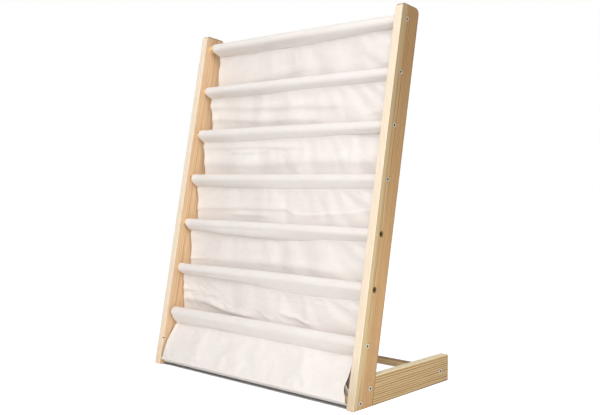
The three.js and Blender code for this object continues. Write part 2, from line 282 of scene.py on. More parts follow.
def bandedColour(tree, ringMap, split, looks, colour):  # with the paler lens behind the front edge
    middle = looks["bandDepth"] * mm - looks["pith"][0] * mm + wood["bandWander"] / 2
    wander = addNode(tree, "TexNoise", {
        "Vector": ringMap, "Scale": 1 / wood["bandWanderWidth"], "Detail": 1,
    })["Fac"]
    lens = addNode(tree, "Math", {
        0: wander, 1: wood["bandWander"], 2: split["Y"],
    }, operation="MULTIPLY_ADD")[0]
    band = addNode(tree, "MapRange", {
        "Value": lens, "From Min": middle - wood["bandHalf"], "From Max": middle + wood["bandHalf"],
        "To Min": looks["bandShare"], "To Max": 0,
    })["Result"]
    return addNode(tree, "Mix", {0: band, 6: colour, 7: linear(looks["band"])}, data_type="RGBA")[2]


def edgeShadeColour(tree, split, looks, colour):  # with painted shade along one edge (a post's rear, a foot's underside) and at a post's upper end
    depth, share = wood["edgeShadeDepth"], wood["edgeShadeShare"]
    edge = (looks["edgeShade"] - looks["pith"][0]) * mm
    edgeShade = addNode(tree, "Math", {0: split["Y"], 1: edge}, operation="SUBTRACT")[0]
    edgeShade = addNode(tree, "Math", {0: edgeShade}, operation="ABSOLUTE")[0]
    edgeShade = addNode(tree, "MapRange", {
        "Value": edgeShade, "From Min": depth / 3, "From Max": depth, "To Min": share, "To Max": 0,
    })["Result"]
    if "top" in looks:
        top = looks["top"] * mm
        tip = addNode(tree, "Math", {
            0: split["Y"], 1: wood["topFall"], 2: split["X"],
        }, operation="MULTIPLY_ADD")[0]
        tip = addNode(tree, "MapRange", {
            "Value": tip, "From Min": top - depth, "From Max": top - depth / 3, "To Min": 0, "To Max": share,
        })["Result"]
        edgeShade = addNode(tree, "Math", {0: edgeShade, 1: tip}, operation="MAXIMUM")[0]
    return addNode(tree, "Mix", {0: edgeShade, 6: colour, 7: linear(wood["edgeShadeColour"])}, data_type="RGBA")[2]


def paintedLightColour(tree, split, looks, colour):  # with painted light on the face turned most to the lamps, less of it towards the floor
    front = -looks["pith"][0] * mm
    depth = wood["paintedLightDepth"]
    toe = addNode(tree, "MapRange", {
        "Value": split["X"], "From Min": wood["toeRise"][0], "From Max": wood["toeRise"][1],
        "To Min": looks["toe"] * looks["edge"], "To Max": looks["edge"],
    })["Result"]
    edge = addNode(tree, "MapRange", {
        "Value": split["Y"], "From Min": front + depth / 3, "From Max": front + depth,
        "To Min": toe, "To Max": 0,
    })["Result"]
    return addNode(tree, "Mix", {0: edge, 6: colour, 7: linear(looks["paintedLight"])}, data_type="RGBA")[2]


def knottedColour(tree, place, looks, colour):  # with the board's one small knot
    along, behind, beside = looks["knot"]
    pith = looks["pith"]
    near = addNode(tree, "Mapping", {
        "Vector": place, "Location": (along * mm, (behind - pith[0]) * mm, (beside + pith[1]) * mm),
        "Scale": [size * mm for size in looks["knotSize"]],
    }, vector_type="TEXTURE")["Vector"]
    near = addNode(tree, "VectorMath", {0: near}, operation="LENGTH")["Value"]
    knot = addNode(tree, "MapRange", {
        "Value": near, "From Min": 0.6, "From Max": 1.1, "To Min": wood["knotShare"], "To Max": 0,
    })["Result"]
    return addNode(tree, "Mix", {0: knot, 6: colour, 7: linear(wood["knotColour"])}, data_type="RGBA")[2]


def pineMaterial(name, looks):
    # Pine, planed or turned and clear sealed: pale wood between darker growth lines, with a low satin gloss
    material, tree = emptyMaterial(name)
    place = addNode(tree, "Attribute", {}, attribute_name="grain")["Vector"]
    split = addNode(tree, "SeparateXYZ", {"Vector": place})
    ringMap, fibreMap = [
        addNode(tree, "Mapping", {"Vector": place, "Scale": (1 / wood[share], 1, 1)})["Vector"]
        for share in ("ringLengthShare", "fibreLengthShare")
    ]
    fibres = addNode(tree, "TexNoise", {
        "Vector": fibreMap, "Scale": 1 / wood["fibreWidth"], "Detail": 3, "Roughness": 0.6,
    })["Fac"]
    colour = grainColour(tree, ringMap, fibreMap, looks)
    colour = bandedColour(tree, ringMap, split, looks, colour)
    # painted shade along an edge and at a post's upper end
    colour = edgeShadeColour(tree, split, looks, colour)
    # painted light on the face turned most to the lamps
    colour = paintedLightColour(tree, split, looks, colour)
    fibreShade = addNode(tree, "ValToRGB", {"Fac": fibres}, [
        (0.3, wood["fibreShade"]), (0.62, "FFFFFF"),
    ])["Color"]
    colour = addNode(tree, "Mix", {
        0: 0.5, 6: colour, 7: fibreShade,
    }, data_type="RGBA", blend_type="MULTIPLY")[2]
    if "knot" in looks:
        colour = knottedColour(tree, place, looks, colour)
    bump = addNode(tree, "Bump", {"Strength": 0.25, "Distance": wood["fibreRelief"], "Height": fibres})
    low, high = wood["roughness"]
    roughness = addNode(tree, "MapRange", {
        "Value": fibres, "From Min": 0.3, "From Max": 0.7, "To Min": low, "To Max": high,
    })["Result"]
    shader = addNode(tree, "BsdfPrincipled", {
        "Base Color": colour, "Roughness": roughness, "Normal": bump["Normal"],
        "IOR": 1.45, "Specular IOR Level": 0.35,
    })["BSDF"]
    addNode(tree, "OutputMaterial", {"Surface": shader})
    return material


canvasLooks = {
    "thread": 0.6 * mm,
    "relief": 0.12 * mm,
    "slubThreads": 2,              # a slub is this many threads wide
    "slubLengthShare": 20,         # and this many times longer
    "patchSpan": 83.3 * mm,
    "cloth": "F6F0EC",
    "shade": "F3ECE7",
    "slub": "F0EBE4",
}


def canvasMaterial():
    # Unbleached cotton canvas in plain weave: matt and warm white, with slubs and a faint crossing of threads
    material, tree = emptyMaterial("unbleachedCottonCanvas")
    place = addNode(tree, "UVMap", {}, uv_map="cut")["UV"]
    thread = canvasLooks["thread"]
    waveScale = math.pi / (10 * thread)
    warp, weft = [
        addNode(tree, "TexWave", {"Vector": place, "Scale": waveScale}, bands_direction=way)["Fac"]
        for way in "XY"
    ]
    over = addNode(tree, "TexChecker", {"Vector": place, "Scale": 1 / thread})["Fac"]
    weave = addNode(tree, "Mix", {0: over, 2: warp, 3: weft}, data_type="FLOAT")[0]
    slubMap = addNode(tree, "Mapping", {
        "Vector": place, "Scale": (1 / canvasLooks["slubLengthShare"], 1, 1),
    })["Vector"]
    slubs = addNode(tree, "TexNoise", {
        "Vector": slubMap, "Scale": 1 / (canvasLooks["slubThreads"] * thread), "Detail": 2,
    })["Fac"]
    patches = addNode(tree, "TexNoise", {
        "Vector": place, "Scale": 1 / canvasLooks["patchSpan"], "Detail": 4,
    })["Fac"]
    colour = addNode(tree, "ValToRGB", {"Fac": patches}, [
        (0.35, canvasLooks["shade"]), (0.65, canvasLooks["cloth"]),
    ])["Color"]
    slubShade = addNode(tree, "ValToRGB", {"Fac": slubs}, [
        (0.3, canvasLooks["slub"]), (0.6, "FFFFFF"),
    ])["Color"]
    colour = addNode(tree, "Mix", {
        0: 0.3, 6: colour, 7: slubShade,
    }, data_type="RGBA", blend_type="MULTIPLY")[2]
    height = addNode(tree, "Math", {0: weave, 1: slubs}, operation="ADD")["Value"]
    bump = addNode(tree, "Bump", {"Strength": 0.35, "Distance": canvasLooks["relief"], "Height": height})
    shader = addNode(tree, "BsdfPrincipled", {
        "Base Color": colour, "Roughness": 0.92, "Normal": bump["Normal"],
        "Sheen Weight": 0.1, "Sheen Roughness": 0.5, "Specular IOR Level": 0.25,
    })["BSDF"]
    addNode(tree, "OutputMaterial", {"Surface": shader})
    return material


# a fine pattern's size, how deep it is, and its dark and light colour
fineLooks = {
    "thread": {"span": 0.3 * mm, "relief": 0.05 * mm, "dark": "E6DED2", "light": "F7F2EA"},
    "zinc": {"span": 0.8 * mm, "relief": 0.05 * mm, "dark": "A39A85", "light": "CAC2B0"},
    # painted shade: a hex socket is coloured near black, as a recess where light hardly reaches
    "socketShade": {"span": 0.6 * mm, "dark": "1C150E", "light": "2E251B"},
    "brownHead": {"span": 0.6 * mm, "dark": "4E3C28", "light": "6E5940"},
}


def mottledMaterial(name, looks, detail, settings, bumpStrength=0):
    # a fine mottling between two colours, which is relief too where it has a bump strength
    material, tree = emptyMaterial(name)
    place = addNode(tree, "TexCoord", {})["Object"]
    marks = addNode(tree, "TexNoise", {
        "Vector": place, "Scale": 1 / looks["span"], "Detail": detail,
    })["Fac"]
    colour = addNode(tree, "ValToRGB", {"Fac": marks}, [(0.3, looks["dark"]), (0.7, looks["light"])])["Color"]
    inputs = {"Base Color": colour, **settings}
    if bumpStrength:
        inputs["Normal"] = addNode(tree, "Bump", {
            "Strength": bumpStrength, "Distance": looks["relief"], "Height": marks,
        })["Normal"]
    shader = addNode(tree, "BsdfPrincipled", inputs)["BSDF"]
    addNode(tree, "OutputMaterial", {"Surface": shader})
    return material


def threadMaterial():
    # Bleached cotton sewing thread, twisted: matt and a little lighter than the canvas
    return mottledMaterial("twistedCottonThread", fineLooks["thread"], 1, {"Roughness": 0.8}, 0.4)


def zincMaterial():
    # Zinc-plated steel, turned: a soft grey shine, mottled where the plating has dulled
    settings = {"Metallic": 1, "Roughness": 0.42}
    return mottledMaterial("turnedZincPlatedSteel", fineLooks["zinc"], 3, settings, 0.2)


def dullSteelMaterial(name, looks):
    # Dull, dark steel that hardly shines: in a hex socket it is painted shade, and on two screw heads a plain
    # dark brown
    return mottledMaterial(name, looks, 2, {"Metallic": 0.3, "Roughness": 0.8, "Specular IOR Level": 0.2})


postPine = {}
for word in sides:
    postPine[word] = pineMaterial(f"planedPine{word.title()}Post", boardLooks[f"{word}Post"])
footPine = pineMaterial("planedPineFoot", boardLooks["foot"])
dowelPine = pineMaterial("turnedPineDowel", boardLooks["dowel"])
canvasCloth = canvasMaterial()
cottonThread = threadMaterial()
zincSteel = zincMaterial()
socketShade = dullSteelMaterial("oiledSteelSocket", fineLooks["socketShade"])
# the screws at rods 5 and 6 have a dark brown head
brownSteel = dullSteelMaterial("brownedSteelHead", fineLooks["brownHead"])
print("materials ready")


# The side plane: how far along the leaning posts, and how far behind their front faces

rodAxes = [middleOf(f"rod_{number}") for number in range(1, 9)]
crossbarAxis = middleOf("rear_crossbar")
lapScrewAxis = middleOf("foot_screw_right")
leanAngle = math.atan2(rodAxes[0].y - rodAxes[7].y, rodAxes[0].z - rodAxes[7].z)
alongPost = Vector((0, math.sin(leanAngle), math.cos(leanAngle)))
behindPost = Vector((0, math.cos(leanAngle), -math.sin(leanAngle)))
postLow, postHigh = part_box("post_right")
footLow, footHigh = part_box("foot_right")
postFoot = Vector((0, postLow.y, 0))  # where a post's front face meets the floor, in the side plane
innerFace = postLow.x
outerFace = postHigh.x
up = Vector((0, 0, 1))


def layGrain(piece, origin, along, across, pith, shift):
    # each point's place in its board: along the grain, and from the tree's middle across it
    grain = piece.data.attributes.new("grain", "FLOAT_VECTOR", "POINT")
    side = along.cross(across)
    for vertex, place in zip(piece.data.vertices, grain.data):
        out = vertex.co - origin
        place.vector = (out.dot(along) + shift, out.dot(across) - pith[0] * mm, out.dot(side) + pith[1] * mm)


def boardFoot(side):  # a post's front lower edge, in the middle of the board's thickness
    return postFoot + Vector((side * (innerFace + outerFace) / 2, 0, 0))


# Boards

board = {
    "width": 59 * mm,
    "arris": 1.4 * mm,
    "arrisSteps": 3,
    "topLength": 815 * mm,         # along the front face, to the unrounded top corner
    "topSlope": math.radians(6.3),
    "topFrontRound": 8.4 * mm,
    "topRearRound": 12.8 * mm,
    "rearRound": 4 * mm,           # upper corner at a foot's rear end
    "toeRound": 2 * mm,
    "roundSteps": 7,
    "lapLength": 24 * mm,
    "lapDepth": 9 * mm,
    "lapGap": 0.6 * mm,
    "socketDepth": 6 * mm,
    "overrun": 30 * mm,
}

screw = {
    "headRadius": 5.6 * mm,
    "rim": 0.5 * mm,
    "headHeight": 2.9 * mm,
    "sink": 0.25 * mm,
    "shankRadius": 2.5 * mm,
    "shank": 14 * mm,
    "keyRadius": 2.6 * mm,
    "keyDepth": 2.4 * mm,
    "keyRim": 0.2 * mm,            # below this depth the hexagon's walls take the painted shade
    "holeGap": 0.7 * mm,
    "deepSink": 1.5 * mm,
    "deepRods": (5, 6),            # these screws were driven further in
    "crown": 0.001 * mm,           # how far a head's face stands above its own place
    "arris": 0.15 * mm,
    "arrisSteps": 2,
    "sides": 32,
    "turn": 0.7,                   # from one screw's twist to the next one's, in radians
}

rod = {
    "radius": 9 * mm,
    "socketGap": 0.15 * mm,
    "arris": 0.8 * mm,
    "arrisSteps": 2,
    "sides": 48,
    "grainShift": 1300 * mm,       # along the grain, from one rod to the next
}


def screwBlank(name, place, side, gap, top):
    # a countersunk head and its shank from one ring, drawn in as it goes down into the board
    # gap: how much wider all of it is; top: how far it stands up from the head's face
    deselect()
    bpy.ops.mesh.primitive_cylinder_add(
        vertices=screw["sides"], radius=screw["headRadius"] + gap, depth=top + screw["rim"] + gap,
        location=(0, 0, (top - screw["rim"] - gap) / 2),
    )
    piece = newest(name)
    settlePlace(piece)
    pick(piece, "faces", lambda face: face.normal.z < -0.9)
    narrow = (screw["shankRadius"] + gap) / (screw["headRadius"] + gap)
    cone = screw["rim"] - screw["headHeight"]
    bpy.ops.mesh.extrude_region_move(TRANSFORM_OT_translate={"value": (0, 0, cone)})
    bpy.ops.transform.resize(value=(narrow, narrow, 1))
    bpy.ops.mesh.extrude_region_move(TRANSFORM_OT_translate={"value": (0, 0, -screw["shank"] - gap)})
    bpy.ops.object.mode_set(mode="OBJECT")
    piece.rotation_euler = (0, side * math.pi / 2, 0)
    piece.location = place
    settlePlace(piece)
    return piece


def dowelBlank(name, start, end, radius):
    deselect()
    bpy.ops.mesh.primitive_cylinder_add(
        vertices=rod["sides"], radius=radius, depth=(end - start).length,
        location=(start + end) / 2, rotation=(0, math.pi / 2, 0),
    )
    piece = newest(name)
    settlePlace(piece)
    return piece


def isDeep(place):
    return any(place == rodAxes[number - 1] for number in screw["deepRods"])


def screwTop(side, place):  # the middle of a screw's head, just under the board's face
    sink = screw["deepSink"] if isDeep(place) else screw["sink"]
    return Vector((side * (outerFace - sink), place.y, place.z))


def boardCutter(side, screwPlaces, socketPlaces):
    cutters = []
    for place in screwPlaces:
        head = screwTop(side, place)
        cutters.append(screwBlank("hole", head, side, screw["holeGap"], 2 * screw["deepSink"]))
    for place in socketPlaces:
        inner = Vector((side * (innerFace - board["overrun"]), place.y, place.z))
        deep = Vector((side * (innerFace + board["socketDepth"]), place.y, place.z))
        cutters.append(dowelBlank("socket", inner, deep, rod["radius"] + rod["socketGap"]))
    return cutters


def boardBlank(name, side, low, high, centre, size, tilt):  # a board between two distances from the middle
    deselect()
    bpy.ops.mesh.primitive_cube_add(
        size=1, location=(side * (low + high) / 2, centre.y, centre.z), rotation=(tilt, 0, 0),
        scale=(high - low, size[0], size[1]),
    )
    piece = newest(name)
    settlePlace(piece)
    return piece


def lapBlock(side, gap):  # the foot's tongue, or with a gap the housing that takes it
    low = innerFace - (board["overrun"] if gap else 0)
    deep = board["lapLength"] + gap
    reach = board["overrun"] if gap else board["arris"] * 2
    centre = postFoot + behindPost * (board["width"] - (deep - reach) / 2)
    size = (deep + reach, 4 * board["width"])
    return boardBlank("lap", side, low, innerFace + board["lapDepth"] + gap, centre, size, -leanAngle)


def makePost(word):
    side = sides[word]
    size = (board["width"], board["topLength"] + 2 * board["overrun"])
    centre = postFoot + alongPost * (board["topLength"] / 2) + behindPost * (board["width"] / 2)
    post = boardBlank(f"post_{word}_board", side, innerFace, outerFace, centre, size, -leanAngle)
    sliceOff(post, (0, 0, 0), -up)
    topCorner = postFoot + alongPost * board["topLength"]
    slope = Vector((0, math.sin(board["topSlope"]), math.cos(board["topSlope"])))
    sliceOff(post, topCorner, slope)
    nearTop = postHigh.z - board["width"] / 2
    middle = topCorner.y + board["width"] / 2
    steps = board["roundSteps"]
    roundCorners(post, board["topFrontRound"], steps, lambda place: place.z > nearTop and place.y < middle)
    roundCorners(post, board["topRearRound"], steps, lambda place: place.z > nearTop and place.y > middle)
    easeEdges(post, board["arris"], board["arrisSteps"])
    housing = lapBlock(side, board["lapGap"])
    sliceOff(housing, (0, 0, board["width"] + board["lapGap"]), up)
    cutFrom(post, join([*boardCutter(side, [*rodAxes, lapScrewAxis], rodAxes), housing], "cutter"))
    layGrain(post, boardFoot(side), alongPost, behindPost, boardLooks[f"{word}Post"]["pith"], 0)
    smoothFinish(post)
    finishPiece(post, f"post_{word}", postPine[word])


def makeFoot(word):
    side = sides[word]
    front = footLow.y - board["overrun"]
    centre = Vector((0, (front + footHigh.y) / 2, footHigh.z / 2))
    size = (footHigh.y - front, footHigh.z)
    foot = boardBlank(f"foot_{word}_board", side, innerFace, outerFace, centre, size, 0)
    sliceOff(foot, postFoot + behindPost * (board["width"] + board["lapGap"]), -behindPost)
    rear = footHigh.y - board["width"] / 2
    steps = board["roundSteps"]
    roundCorners(foot, board["rearRound"], steps, lambda place: place.y > rear and place.z > centre.z)
    roundCorners(foot, board["toeRound"], steps, lambda place: place.y > rear and place.z < centre.z)
    easeEdges(foot, board["arris"], board["arrisSteps"])
    tongue = lapBlock(side, 0)
    sliceOff(tongue, (0, 0, board["width"]), up)
    sliceOff(tongue, (0, 0, 0), -up)
    addModifier(foot, "BOOLEAN", operation="UNION", object=tongue, solver="EXACT")
    applyModifiers(foot)
    bpy.data.objects.remove(tongue)
    cutFrom(foot, join(boardCutter(side, [crossbarAxis, lapScrewAxis], [crossbarAxis]), "cutter"))
    top = boardFoot(side) + up * footHigh.z
    layGrain(foot, top, Vector((0, 1, 0)), -up, boardLooks["foot"]["pith"], 0)
    smoothFinish(foot)
    finishPiece(foot, f"foot_{word}", footPine)


for word in sides:
    makePost(word)
    makeFoot(word)
print("posts and feet ready")


# Rods and screws

def makeRods():
    low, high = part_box("rod_1")
    middle = Vector((0, 0, 0))
    first = dowelBlank("dowel", Vector((low.x, 0, 0)), Vector((high.x, 0, 0)), rod["radius"])
    easeEdges(first, rod["arris"], rod["arrisSteps"])
    names = [f"rod_{number}" for number in range(1, 9)] + ["rear_crossbar"]
    for turn, (name, axis) in enumerate(zip(names, [*rodAxes, crossbarAxis])):
        dowel = copyPiece(first, f"{name}_dowel")
        across = Vector((0, math.cos(turn), math.sin(turn)))
        shift = turn * rod["grainShift"]
        layGrain(dowel, middle, Vector((1, 0, 0)), across, boardLooks["dowel"]["pith"], shift)
        dowel.data.transform(Matrix.Translation(axis))
        smoothFinish(dowel)
        finishPiece(dowel, name, dowelPine)
    bpy.data.objects.remove(first)


def makeScrews():
    place = Vector((0, 0, 0))
    first = screwBlank("screw", place, 1, 0, screw["crown"])
    deselect()
    bpy.ops.mesh.primitive_cylinder_add(
        vertices=6, radius=screw["keyRadius"], depth=2 * screw["keyDepth"], location=place,
        rotation=(0, math.pi / 2, 0),
    )
    cutFrom(first, newest("key"))
    easeEdges(first, screw["arris"], screw["arrisSteps"])
    smoothFinish(first)
    # the socket's walls below its rim, which take the painted shade
    socket = []
    for face in first.data.polygons:
        depth, out = -face.center.x, math.hypot(face.center.y, face.center.z)
        if screw["keyRim"] < depth < screw["keyDepth"] * 1.05 and out < screw["keyRadius"]:
            socket.append(face.index)
    places = {f"rod_screw_{{}}_{number}": axis for number, axis in enumerate(rodAxes, 1)}
    places["foot_screw_{}"] = lapScrewAxis
    places["crossbar_screw_{}"] = crossbarAxis
    turn = 0
    for label, axis in places.items():
        for word, side in sides.items():
            head = copyPiece(first, label.format(word) + "_turned")
            turn += screw["turn"]
            twist = Matrix.Rotation(turn, 4, "X")
            facing = Matrix.Rotation(math.pi if side < 0 else 0, 4, "Z")
            head.data.transform(Matrix.Translation(screwTop(side, axis)) @ facing @ twist)
            finishPiece(head, label.format(word), brownSteel if isDeep(axis) else zincSteel)
            head.data.materials.append(socketShade)
            for face in socket:
                head.data.polygons[face].material_index = 1
    bpy.data.objects.remove(first)


makeRods()
makeScrews()
print("rods and screws ready")


# Canvas slings: what repeats is here, and what differs from sling to sling comes from the photograph

cloth = {
    "thickness": 0.9 * mm,
    "hemThickness": 1.7 * mm,
    "hemWidth": 10 * mm,
    "hemColumns": (0, 4 * mm, 8 * mm, 10 * mm, 12 * mm),  # from a side edge inwards
    "sideGap": 4 * mm,
    "rodGap": 0.9 * mm,          # from a rod to the cloth's middle line
    "bellyShare": 0.45,          # where the ply in front of a rod sags most, from its seam up
    "gapDrop": 80,               # mm below a rod where leftGap's second value holds
    "columnStep": 7 * mm,
    "tunnelSteps": (9, 15, 4),   # up the ply in front, over the rod, and down behind it
    "panelSteps": (26, 10),      # down the shown half of a panel, and down its hidden half
    "pocketSteps": (9, 16, 3),   # round a pocket's bottom, up its front ply, and on behind the next rod
    "pocketDepth": 96 * mm,      # from a pocket's front rod down to its bottom
    "pocketTopDrop": 5 * mm,
    "plyGap": 1.6 * mm,
    "waver": 0.4 * mm,           # broad unevenness of a hanging panel
    "waverSpan": 55 * mm,
    "waverRows": 5,              # it grows over this many rows at a panel's ends
    "waverStretch": 0.3,         # waver and crumple run longer across the panel, by these shares
    "crumple": 0.25 * mm,
    "crumpleSpan": 17 * mm,
    "crumpleStretch": 0.5,
    "rumpleSpan": 13 * mm,
    "rumpleStretch": (0.8, 1.5),
    "rumpleLean": 0.3,
    "foldEnd": 0.06,             # share of the width over which a fold runs out
    "softCorner": 3.4 * mm,      # how far a soft crease stands forwards of a sharp one, and over what height
    "softSpan": 9 * mm,
    "softForwards": 6,           # a crease drawn this many mm forwards is wholly soft
    "settleFrames": 12,
}

# hang: how far the seam under a rod lies behind the rod's axis, in mm
# leftGap: from the left post to the cloth at the rod, and at the foot of the panel, in mm
# crease: (share of the width, mm from the rod's axis down to the seam, mm of slack in the ply in front of it,
#          and how many mm the seam is drawn forwards where the crease runs out softly)
# loft: how far the tunnel's top stands off the rod at the left, in the middle and at the right, in mm
# rumples: the share and mm below the axis of a rumpled place's middle, its reach each way, and its height
# folds: a fold's height, and how far it reaches above and below its crest, in mm, then points on that crest,
#        each as (share, mm below the axis)
# dents: like folds, but pressed into the ply under a rod
slings = [
    {
        "hang": 13, "leftGap": (13, 8.5), "loft": (1.5, 2.5, 2),
        "crease": [
            (0, 18, 0.5, -2), (0.08, 19, 0.5, -2), (0.24, 19, 0.5, -2), (0.4, 20, 0.5, -1),
            (0.55, 20.5, 1, 1), (0.7, 18, 1, 3), (0.88, 14, 0.5, 4), (0.95, 14, 3, 3), (1, 14, 3, 3),
        ],
        "dents": [(5.5, 6, 4, [(-0.02, 18), (0.24, 16), (0.4, 14), (0.58, 13)])],
        "folds": [(2.5, 14, 10, [(0.1, 88), (0.6, 71)])],
    },
    {
        "hang": 11, "leftGap": (9, 12), "loft": (0.5, 1, 1),
        "crease": [
            (0, 16, 1, -1), (0.1, 15, 1, -2), (0.25, 17, 1, -1), (0.35, 18, 1, 3),
            (0.55, 16, 0.5, 6), (1, 16, 0.5, 5),
        ],
        "folds": [
            (3.2, 12, 8, [(-0.05, 36), (0.5, 50), (0.8, 56)]),
            (3, 12, 8, [(-0.05, 66), (0.4, 79), (0.68, 83)]), (1.6, 6, 4, [(0.87, 79), (0.97, 75)]),
        ],
    },
    {
        "hang": 9, "leftGap": (7.5, 11), "loft": (1, 1.5, 0.5),
        "crease": [
            (0, 18, 1, 0), (0.06, 18, 1, 0), (0.3, 19, 1, 4), (0.6, 18, 0.5, 6), (0.84, 15, 0.5, 5),
            (0.88, 15, 4, 0.5), (0.96, 15, 4, 0.5), (1, 15, 1, 2),
        ],
        "folds": [
            (2.8, 8, 5, [(-0.05, 30), (0.3, 33), (0.62, 38)]), (1.8, 5, 4, [(0.15, 46), (0.45, 44)]),
            (5, 16, 13, [(-0.05, 67), (0.35, 71), (0.6, 66), (1, 68)]), (1.6, 8, 5, [(0.84, 64), (0.94, 30)]),
        ],
    },
    {
        "hang": 9, "leftGap": (4.5, 4.5), "loft": (0, 0, 0),
        "crease": [(0, 20, 1, -1), (0.06, 20, 2, -2), (0.25, 21.5, 3, -1), (0.5, 22, 1, 6), (1, 20, 1, 6)],
        "folds": [
            (2, 10, 5, [(-0.05, 72), (0.3, 68), (0.52, 66), (0.6, 72)]), (2, 6, 5, [(0.2, 84), (0.47, 83)]),
            (1.5, 2.5, 8, [(0.55, 74), (0.66, 78), (0.81, 72), (1.03, 58)]),
        ],
    },
    {
        "hang": 8.5, "leftGap": (6, 4), "loft": (0, 0, 0),
        "crease": [
            (0, 18, 2, -1), (0.07, 19, 5, -2), (0.25, 25, 8, -1), (0.43, 27.5, 8, 0), (0.52, 28, 5, 0.5),
            (0.64, 25, 1, 2.5), (0.8, 19, 0.5, 5), (1, 17, 0.5, 6),
        ],
        "folds": [(1.8, 4, 3, [(-0.05, 88), (0.1, 86)]), (2.5, 12, 10, [(0.05, 84), (0.5, 80), (0.9, 84)])],
    },
    {
        "hang": 8.5, "leftGap": (3, 3), "loft": (0, 2.5, 1.5),
        "crease": [
            (0, 16, 2, -1), (0.1, 16, 6, -2), (0.29, 18, 6, -1), (0.42, 21, 2, 4), (0.55, 25, 1, 6),
            (0.7, 29, 1, 5), (1, 26, 1, 5),
        ],
        "folds": [
            (2.2, 5, 3, [(0, 40), (0.09, 52)]), (2.8, 7, 4, [(-0.05, 50), (0.08, 53), (0.16, 56)]),
            (2.6, 7, 4, [(0.02, 64), (0.1, 60), (0.2, 62)]), (2.4, 6, 3, [(0.15, 55), (0.24, 61)]),
            (4, 10, 8, [(-0.05, 74), (0.14, 76), (0.25, 84)]), (2, 5, 3, [(0.12, 72), (0.19, 79)]),
            (4, 8, 6, [(0.18, 84), (0.31, 92), (0.45, 92)]), (2.6, 5, 3, [(0.25, 82), (0.33, 89)]),
            (2, 6, 4, [(0.47, 86), (0.57, 91)]), (3, 8, 5, [(0.56, 73), (0.64, 79), (0.72, 85)]),
            (1.8, 5, 3, [(0.66, 86), (0.78, 90)]),
        ],
        "rumples": [(0.1, 62, 0.12, 24, 2.6), (0.3, 84, 0.14, 10, 2), (0.62, 86, 0.14, 9, 1.6)],
    },
    {
        "hang": 6, "leftGap": (5, 4), "loft": (4, 4.5, 4),
        "crease": [
            (0, 25, 2, 0), (0.03, 27, 3, 0), (0.22, 24, 3, 0), (0.45, 24.5, 2, 3), (0.75, 25, 1.5, 3),
            (0.9, 26, 4, 0), (1, 25, 3, 0),
        ],
        "folds": [(1, 10, 8, [(0.43, 58), (0.6, 50)])],
    },
]

apron = {
    "foldRise": 14.2 * mm,
    "foldSetback": 4.4 * mm,
    "foldRadius": 1 * mm,
    "tunnelRise": 46 * mm,
    "hemSteps": (4, 3, 10, 5),    # round the lower fold, back to the lowest rod, round it, and up again
    "waver": 0.2 * mm,
    "leftBulge": 9 * mm,          # how far its left edge stands forwards, and where
    "bulgeHeight": 52 * mm,
    "bulgeReach": (32 * mm, 0.3),
    # (mm above the floor, mm from the right post): its right edge is drawn in above the lowest rod
    "rightGap": [
        (0, 4), (12, 5), (17, 6.5), (25, 12), (32, 19), (40, 22), (50, 21.5), (58, 20.5), (72, 20),
        (90, 10.5), (112, 4),
    ],
}

stitch = {
    "pitch": 3.2 * mm,
    "length": 2.4 * mm,
    "radius": 0.3 * mm,
    "hemInset": 8 * mm,          # from a side edge
}


def profile(points, share):  # eases from point to point of a list like a crease
    for left, right in zip(points, points[1:]):
        if share <= right[0]:
            part = (share - left[0]) / (right[0] - left[0])
            part = part * part * (3 - 2 * part)
            return [a + (b - a) * part for a, b in zip(left[1:], right[1:])]
    return list(points[-1][1:])


def between(start, end, steps):
    return [start.lerp(end, i / steps) for i in range(1, steps)]


def arc(centre, radius, first, last, steps):
    angles = [first + (last - first) * i / steps for i in range(steps + 1)]
    return [Vector((centre[0] + radius * math.cos(a), centre[1] + radius * math.sin(a))) for a in angles]


def tangent(centre, radius, place, turn):
    out = place - centre
    return math.atan2(out.y, out.x) % (2 * math.pi) + turn * math.acos(radius / out.length)


def seamAt(index, share):
    drop, _, forwards = profile(slings[index]["crease"], share)
    return Vector((rodAxes[index].y + (slings[index]["hang"] - forwards) * mm, rodAxes[index].z - drop * mm))


def tunnelPath(index, share):  # from the seam forwards and over the rod, and down its back to the seam
    seam = seamAt(index, share)
    slack = profile(slings[index]["crease"], share)[1] * mm
    left, middle, right = slings[index]["loft"]
    loft = profile([(0, left), (0.5, middle), (1, right)], share)[0] * mm
    axis = Vector((rodAxes[index].y, rodAxes[index].z + loft / 2))
    radius = rod["radius"] + cloth["rodGap"] + loft / 2
    front = tangent(axis, radius, seam, -1)
    back = tangent(axis, radius, seam, 1) - 2 * math.pi
    plySteps, rodSteps, backSteps = cloth["tunnelSteps"]
    overRod = arc(axis, radius, front, back, rodSteps)
    start = seam + (overRod[0] - seam).normalized() * cloth["thickness"]
    belly = start.lerp(overRod[0], cloth["bellyShare"]) + Vector((-slack, -slack))
    ply = []
    for i in range(plySteps):
        t = i / plySteps
        ply.append((1 - t) ** 2 * start + 2 * t * (1 - t) * belly + t * t * overRod[0])
    return [*ply, *overRod, *between(overRod[-1], seam, backSteps), seam]


